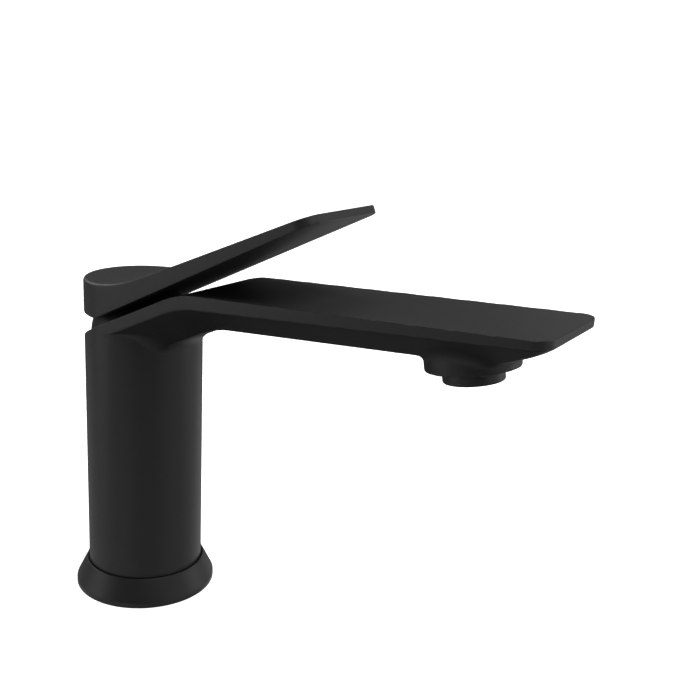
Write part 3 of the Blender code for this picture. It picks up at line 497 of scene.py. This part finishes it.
def bodyField(x, y, z):
    aside = np.abs(y)
    radial = np.hypot(x, y)
    # seen from above: a half round at the back, then straight sides to the tip's corners
    half = columnRadius - body["spoutInset"] * easeIn(x / 20.0)
    corner = body["spoutCorner"]
    past = np.maximum(x - (spoutTip - corner), 0.0)
    beside = np.maximum(aside - (half - corner), 0.0)
    square = np.minimum(np.maximum(x - (spoutTip - corner), aside - (half - corner)), 0.0)
    plan = np.where(x > 0, np.hypot(past, beside) + square - corner, radial - columnRadius)

    bend = (body["bendAt"], body["bendReach"])
    topZ, rise = bentLine(x, bendTop, topRise, body["spoutRise"], *bend)
    top = (z - topZ) / np.sqrt(1 + rise ** 2)
    plateZ, plateRise = bentLine(x, bendTop - body["plateAtNeck"], topRise, underRise, *bend)
    hullZ, hullRise = bentLine(x, hullBend, topRise, underRise, hullBendAt, body["bendReach"])
    noseSlope = (body["hullDepth"] - gap) / body["hullNose"]
    noseLift, noseRise = bentLine(x, 0.0, 0.0, noseSlope, spoutTip - body["hullNose"], body["noseReach"])
    hullZ, hullRise = hullZ + noseLift, hullRise + noseRise
    bottom = (hullZ - z) / np.sqrt(1 + hullRise ** 2)
    flankWidth = columnRadius - body["spoutInset"] - body["hullHalfWidth"]
    draft = np.maximum(plateZ - hullZ, body["hullDepth"]) / flankWidth
    flank = (plateZ + plan * draft - z) / np.sqrt(1 + draft ** 2 + plateRise ** 2)
    hull = meet(flank, bottom, body["hullEdge"])
    spout = meet(np.where(x > 0, plan, -x + radial - columnRadius), hull, body["plateEdge"])
    spout = np.maximum(spout, -x)

    column = np.maximum(radial - columnRadius, body["spigotHeight"] - z)
    fillet = body["columnFillet"] * easeIn((columnRadius - aside) / 9.0) + 0.05
    solid = melt(column, spout, fillet)
    bossRadial, bossHeight = tiltedPlace(x, y, z, outletFace, outletUp)
    boss = meet(bossRadial - body["bossRadius"], -bossHeight, body["bossEdge"])
    boss = np.maximum(boss, bossHeight - body["hullDepth"] - 2.0)
    solid = melt(solid, boss, body["bossFillet"])
    topEdge = body["plateEdge"] + (body["columnEdge"] - body["plateEdge"]) * easeIn((12.0 - x) / 24.0)
    solid = meet(solid, top, topEdge)
    spigot = meet(radial - (columnRadius - body["spigotStep"]), -z, 0.4)
    return np.minimum(solid, np.maximum(spigot, z - body["spigotHeight"] - 1.0))


def bodyPockets(x, y, z):
    # what is bored out of the casting and can be seen when pieces come off
    radial, height = tiltedPlace(x, y, z, pivot, cartridgeUp)
    skirtRadius = sqrt((columnRadius - body["bonnetMargin"]) ** 2 - body["pivotDepth"] ** 2) + gap
    seat = body["pivotDepth"] - bores["bonnetSeat"] - gap
    outRadial, outHeight = tiltedPlace(x, y, z, outletFace, outletUp)
    hoseAside, studBack = bores["hoseAside"], -bores["studBack"]
    hoseEnds = (0, hoseAside, -1), (0, hoseAside, bores["hoseDepth"])
    studEnds = (studBack, 0, -1), (studBack, 0, bores["studDepth"])
    flat = np.hypot(x, y)
    hollow = np.maximum(flat - bores["hollowRadius"], bores["hollowFrom"] - x)
    hollow = np.maximum(hollow, z - bores["hollowTop"])
    groove = np.maximum(bores["grooveFloor"] - flat, flat - bores["grooveMouth"])
    cuts = [
        np.maximum(radial - skirtRadius, seat - height),
        np.maximum(radial - bores["nutRadius"], bores["nutFloor"] - height),
        np.maximum(radial - bores["cartridgeRadius"], bores["cartridgeFloor"] - height),
        np.maximum(outRadial - bores["aeratorRadius"], outHeight - bores["aeratorDepth"]),
        np.maximum(outRadial - bores["waterRadius"], outHeight - bores["waterDepth"]),
        rodField(x, np.abs(y), z, *hoseEnds, bores["hoseRadius"]),
        rodField(x, y, z, *studEnds, bores["studRadius"]),
        hollow,
        np.maximum(groove, np.abs(z - bores["grooveAt"]) - bores["grooveHalf"]),
    ]
    return np.minimum.reduce(cuts)


def makeBody():
    def solid(x, y, z):
        return meet(bodyField(x, y, z), -bodyPockets(x, y, z), body["boreEdge"])
    casting = skinField("bodyCasting", solid, bodyLow, bodyHigh, body["step"])
    casting.data.materials.append(powderCoat)
    casting.data.materials.append(castBrass)
    # the coating stops at the mouths of the bores
    centres = np.empty(len(casting.data.polygons) * 3)
    casting.data.polygons.foreach_get("center", centres)
    x, y, z = centres.reshape(-1, 3).T / mm
    bare = (bodyPockets(x, y, z) > -0.2) & (bodyField(x, y, z) < -0.35) | (z < 0.05)
    casting.data.polygons.foreach_set("material_index", bare.astype(np.int32))
    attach(casting, "body")
    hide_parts("body_casting")
    print("body skinned,", len(casting.data.polygons), "faces")


makeBody()


# lever handle

handle = {
    "capTop": 23.5, "capBottom": 9.3, "leverTopAtAxis": 20.5, "leverTopSlope": radians(23.44),
    "leverUnderAtAxis": 11.4, "leverUnderSlope": radians(26.28), "blendRadius": 72.0,
    "leverLength": 95.1, "tipCorner": 7.0,
    "capEdge": 1.4, "capUnderEdge": 0.4, "leverEdge": 0.3,
    "stemLean": radians(10.0), "stemHalf": 3.5, "cavityRoom": 0.74, "cavityRoof": 17.5,
    "hubRadius": 6.5, "hubBottom": 11.3, "hubFillet": 0.5, "socketTop": 22.8, "socketFrom": 10.0,
    "screwAt": 20.2, "screwHole": 2.25, "plugRadius": 3.2, "plugHead": 1.2, "openingEdge": 0.35,
    "step": 0.62,
}
capRadius = -handleLow[0]
stemTilt = topSlope - handle["stemLean"]
stemUp = np.array([-sin(stemTilt), 0.0, cos(stemTilt)])
stemForward = np.array([cos(stemTilt), 0.0, sin(stemTilt)])
plugWall = (capRadius - handle["screwAt"] * sin(stemTilt)) / cos(stemTilt)
plugSeat = -plugWall + handle["plugHead"] + 2 * gap  # along stemForward, from the stem's axis


def handleField(x, y, z):
    height = z - pivot[2]
    slope, underSlope = handle["leverTopSlope"], handle["leverUnderSlope"]
    # the top: flat on the cap, then an arc, then the lever's straight slope
    blend = handle["blendRadius"]
    meetAt = (handle["capTop"] - handle["leverTopAtAxis"]) / tan(slope)
    blendStart = meetAt - blend * tan(slope / 2)
    alongArc = np.clip(x - blendStart, 0.0, blend * sin(slope))
    arcRadius = np.sqrt(blend ** 2 - alongArc ** 2)
    arcTop = handle["capTop"] + blend - arcRadius
    rise = alongArc / arcRadius
    topHeight = arcTop + np.maximum(x - blendStart - blend * sin(slope), 0.0) * tan(slope)
    top = (height - topHeight) / np.sqrt(1 + rise ** 2)
    under = (handle["leverUnderAtAxis"] + x * tan(underSlope) - height) * cos(underSlope)
    tipHeight = handle["leverTopAtAxis"] + handle["leverLength"] * tan(slope)
    end = (x - handle["leverLength"]) * cos(slope) + (height - tipHeight) * sin(slope)
    side = np.where(x > 0, np.abs(y), np.hypot(x, y)) - capRadius
    plan = meet(side, end, handle["tipCorner"])
    towardLever = easeIn((x + 4.0) / 22.0)
    topEdge = handle["capEdge"] + (handle["leverEdge"] - handle["capEdge"]) * towardLever
    underEdge = handle["capUnderEdge"] + (handle["leverEdge"] - handle["capUnderEdge"]) * towardLever
    capUnder = meet(handle["capBottom"] - height, under, handle["capUnderEdge"])
    return meet(meet(plan, top, topEdge), capUnder, underEdge)


def handleHollow(x, y, z):
    fromPivot = [x - pivot[0], y, z - pivot[2]]
    up = fromPivot[0] * stemUp[0] + fromPivot[2] * stemUp[2]
    forward = fromPivot[0] * stemForward[0] + fromPivot[2] * stemForward[2]
    radial = np.hypot(forward, y)
    cavity = columnRadius - body["bonnetMargin"] + handle["cavityRoom"]
    hollow = np.maximum(np.sqrt(radial ** 2 + up ** 2) - cavity, up - handle["cavityRoof"])
    hub = np.maximum(radial - handle["hubRadius"], handle["hubBottom"] - up)
    hollow = meet(hollow, -hub, handle["hubFillet"])
    reach = handle["stemHalf"] + gap
    socket = np.maximum(np.maximum(np.abs(forward), np.abs(y)) - reach, up - handle["socketTop"])
    hollow = np.minimum(hollow, np.maximum(socket, handle["socketFrom"] - up))
    across = np.hypot(y, up - handle["screwAt"])
    hollow = np.minimum(hollow, np.maximum(across - handle["screwHole"], forward))
    return np.minimum(hollow, np.maximum(across - handle["plugRadius"] - gap, forward - plugSeat))


def makeHandle():
    def solid(x, y, z):
        return meet(handleField(x, y, z), -handleHollow(x, y, z), handle["openingEdge"])
    lever = skinField("leverHandle", solid, handleLow, handleHigh, handle["step"])
    lever.data.materials.append(powderCoat)
    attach(lever, "lever")
    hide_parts("lever_handle")
    print("handle skinned,", len(lever.data.polygons), "faces")


def makeCoverPlug():
    # a small pressed-in disc with a slightly domed face, which hides the grub screw
    outer = plugSeat - gap - handle["plugHead"]
    radius = handle["plugRadius"]
    plugShape = {"crown": 0.25, "edgeDrop": 0.15, "pinRadius": 1.95, "pinLength": 2.5}
    turns = np.linspace(0.002, pi / 2 * 0.86, 8)
    domed = [(radius * sin(a), outer * -1 + plugShape["crown"] * (cos(a * 2) - 1) / 2) for a in turns]
    back, pin = -(plugSeat - gap), plugShape["pinRadius"]
    pinEnd = back - plugShape["pinLength"]
    edge = [(radius, domed[-1][1] - plugShape["edgeDrop"]), (radius, back), (pin, back), (pin, pinEnd),
            (0.006, pinEnd)]
    centre = pivot + stemUp * handle["screwAt"]
    plug = turnedPiece("screwCoverPlug", domed + edge, placeAlong(centre, -stemForward), 48)
    bm = bmesh.new()
    bm.from_mesh(plug.data)
    bmesh.ops.holes_fill(bm, edges=bm.edges, sides=64)
    bm.to_mesh(plug.data)
    bm.free()
    plug.data.materials.append(finishes["black_plastic"])
    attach(plug, "lever")
    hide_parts("screw_cover_plug")


makeHandle()
makeCoverPlug()


# base ring, dome, aerator

def makeBaseRing():
    ring = {
        "bore": columnRadius - 2.7, "outer": ringHigh[1], "lip": 2.4, "height": ringHigh[2],
        "recess": columnRadius + gap, "wall": 0.7, "seat": 8.7,
        "grooveIn": 5.8, "grooveOut": 2.3, "grooveHeight": 1.8,
    }
    outer, height, seat, cut = ring["outer"], ring["height"], ring["seat"], ring["grooveHeight"]
    grooveIn, grooveOut = outer - ring["grooveIn"], outer - ring["grooveOut"]
    top = ring["recess"] + ring["wall"]
    outline = roundedOutline([
        (ring["bore"], 0.0, 0.2), (grooveIn, 0.0, 0.2), (grooveIn, cut, 0.0),
        (grooveOut, cut, 0.0), (grooveOut, 0.0, 0.2), (outer, 0.0, 0.5),
        (outer, ring["lip"], 1.1), (top, height, 0.35), (ring["recess"], height, 0.25),
        (ring["recess"], seat, 0.0), (ring["bore"], seat, 0.2),
    ])
    flange = turnedPiece("baseRing", outline, Matrix.Identity(4), 192)
    flange.data.materials.append(powderCoat)
    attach(flange, "body")
    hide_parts("base_ring")


def makeDome():
    dome = {
        "radius": columnRadius - body["bonnetMargin"], "wall": 1.8, "mouth": 13.5, "skirt": 3.3, "lip": 0.2,
    }
    outer, mouth = dome["radius"], dome["mouth"]
    inner = outer - dome["wall"]
    depth = body["pivotDepth"]
    skirtEnd = depth - dome["skirt"]
    outside = [asin(depth / outer), asin((mouth - dome["lip"]) / outer)]
    inside = [asin((mouth - dome["lip"]) / inner), asin(depth / inner)]
    outline = [(inner * cos(inside[1]), skirtEnd), (outer * cos(outside[0]), skirtEnd)]
    outline += [(outer * cos(a), outer * sin(a)) for a in np.linspace(*outside, 20)]
    outline += [((outer * cos(outside[1]) + inner * cos(inside[0])) / 2, mouth)]
    outline += [(inner * cos(a), inner * sin(a)) for a in np.linspace(*inside, 20)]
    bonnet = turnedPiece("domeBonnet", outline, placeAlong(pivot, cartridgeUp), 144)
    bonnet.data.materials.append(powderCoat)
    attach(bonnet, "body")
    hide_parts("dome_bonnet")


def makeAerator():
    aerator = {
        "radius": 10.75, "drop": 4.7, "inner": 8.6, "mouth": 7.6, "lip": 1.0,
        "threadRadius": 9.8, "threadHeight": 5.5, "threadDepth": 0.45, "threadTurns": 5,
    }
    drop, radius, crest, inner = (aerator[key] for key in ("drop", "radius", "threadRadius", "inner"))
    mouth, lipTop = aerator["mouth"], -aerator["drop"] + aerator["lip"]
    corners = [(mouth, -drop, 0.3), (radius, -drop, 0.7), (radius, -gap, 0.25), (crest, -gap, 0.0)]
    for turn in range(aerator["threadTurns"]):  # the thread's crests, one millimetre apart
        foot = 0.5 + turn
        corners += [(crest - aerator["threadDepth"], foot, 0.0), (crest, foot + 0.5, 0.0)]
    corners += [
        (crest - 0.3, aerator["threadHeight"], 0.0), (inner, aerator["threadHeight"], 0.2),
        (inner, lipTop, 0.0), (mouth, lipTop, 0.3),
    ]
    collar = turnedPiece("aeratorCollar", roundedOutline(corners), placeAlong(outletFace, outletUp), 144)
    collar.data.materials.append(powderCoat)
    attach(collar, "body")
    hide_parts("aerator_collar")


makeBaseRing()
makeDome()
makeAerator()
print("turned pieces made")


# stage, camera and lights

def makeStage():
    # a pale floor that curves up into a wall all round
    cove = {"flat": 1.6, "bend": 1.2, "tone": "#f4f4f3", "glow": 0.9}
    rings = [(0.02, 0.0), (cove["flat"], 0.0)]
    for a in np.linspace(0.1, pi / 2, 14):
        rings.append((cove["flat"] + cove["bend"] * sin(a), cove["bend"] * (1 - cos(a))))
    rings += [(cove["flat"] + cove["bend"], 5.0), (0.02, 6.0)]
    bm = bmesh.new()
    verts = [bm.verts.new((radius, 0.0, height)) for radius, height in rings]
    edges = [bm.edges.new(pair) for pair in zip(verts, verts[1:])]
    bmesh.ops.spin(bm, geom=verts + edges, cent=(0, 0, 0), axis=(0, 0, 1), angle=2 * pi, steps=64)
    bmesh.ops.remove_doubles(bm, verts=bm.verts, dist=1e-5)
    bmesh.ops.holes_fill(bm, edges=bm.edges, sides=80)
    mesh = bpy.data.meshes.new("studioCove")
    bm.to_mesh(mesh)
    bm.free()
    mesh.shade_smooth()
    floor = placed("studioCove", mesh)
    material, tree, shader, _ = newMaterial("paintedCove")
    setInputs(tree, shader, {
        "Base Color": hexColour(cove["tone"]), "Roughness": 0.9, "Emission Color": hexColour("#ffffff"),
        "Emission Strength": cove["glow"],
    })
    mesh.materials.append(material)
    # the object is lit by the lamps and the room, not by the cove
    floor.visible_diffuse = False
    floor.visible_glossy = False
    floor.visible_shadow = False


def makeCamera():
    # angles in radians, and the place in column radii
    view = {
        "yaw": 0.5406, "pitch": 0.2744, "roll": 0.0515, "focal": 51.30, "place": (11.6071, -12.4162, 9.1951),
    }
    place = Vector(view["place"]) * columnRadius * mm
    yaw, pitch, roll = view["yaw"], view["pitch"], view["roll"]
    back = Vector((sin(yaw) * cos(pitch), -cos(yaw) * cos(pitch), sin(pitch)))
    right = Vector((cos(yaw), sin(yaw), 0.0))
    up = back.cross(right)
    turnedRight = cos(roll) * right + sin(roll) * up
    turnedUp = cos(roll) * up - sin(roll) * right
    lens = bpy.data.cameras.new("productCamera")
    lens.lens = view["focal"]
    lens.sensor_width = 36.0
    camera = bpy.data.objects.new("productCamera", lens)
    turn = Matrix((turnedRight, turnedUp, back)).transposed().to_4x4()
    camera.matrix_world = Matrix.Translation(place) @ turn
    bpy.context.scene.collection.objects.link(camera)
    bpy.context.scene.camera = camera


studio = {"aim": (0.07, 0.0, 0.09), "distance": 1.5, "lampWidth": 1.05, "roomGlow": 0.09}
softboxes = {
    # azimuth and elevation in degrees, and watts; the lamps below the floor stand in for light off it
    "highRight": (0, 65, 18.6),
    "highBackLeft": (135, 65, 3.7),
    "middleLeft": (180, 35, 6.2),
    "lowRight": (0, 5, 1.6),
    "lowBackRight": (45, 5, 3.6),
    "lowBack": (90, 5, 0.8),
    "lowFrontLeft": (225, 5, 3.0),
    "bounceRight": (0, -30, 1.1),
    "bounceBackRight": (45, -30, 0.9),
    "bounceBack": (90, -30, 1.7),
    "bounceLeft": (180, -30, 1.0),
    "bounceFrontLeft": (225, -30, 1.2),
    "bounceFront": (270, -30, 1.5),
    "bounceFrontRight": (315, -30, 0.9),
}


def makeLights():
    aim = Vector(studio["aim"])
    for name, (azimuth, elevation, watts) in softboxes.items():
        azimuth, elevation = radians(azimuth), radians(elevation)
        toward = Vector((cos(azimuth) * cos(elevation), sin(azimuth) * cos(elevation), sin(elevation)))
        lamp = bpy.data.lights.new(name, "AREA")
        lamp.shape = "DISK"
        lamp.size = studio["lampWidth"]
        lamp.energy = watts
        box = bpy.data.objects.new(name, lamp)
        box.location = aim + toward * studio["distance"]
        box.rotation_euler = toward.to_track_quat("Z", "Y").to_euler()
        bpy.context.scene.collection.objects.link(box)
    world = bpy.data.worlds.new("studioRoom")
    world.use_nodes = True
    background = world.node_tree.nodes["Background"]
    setInputs(world.node_tree, background, {"Color": hexColour("#ffffff"), "Strength": studio["roomGlow"]})
    bpy.context.scene.world = world
    bpy.context.scene.view_settings.view_transform = "Standard"


makeStage()
makeCamera()
makeLights()
print("stage, camera and lights set")
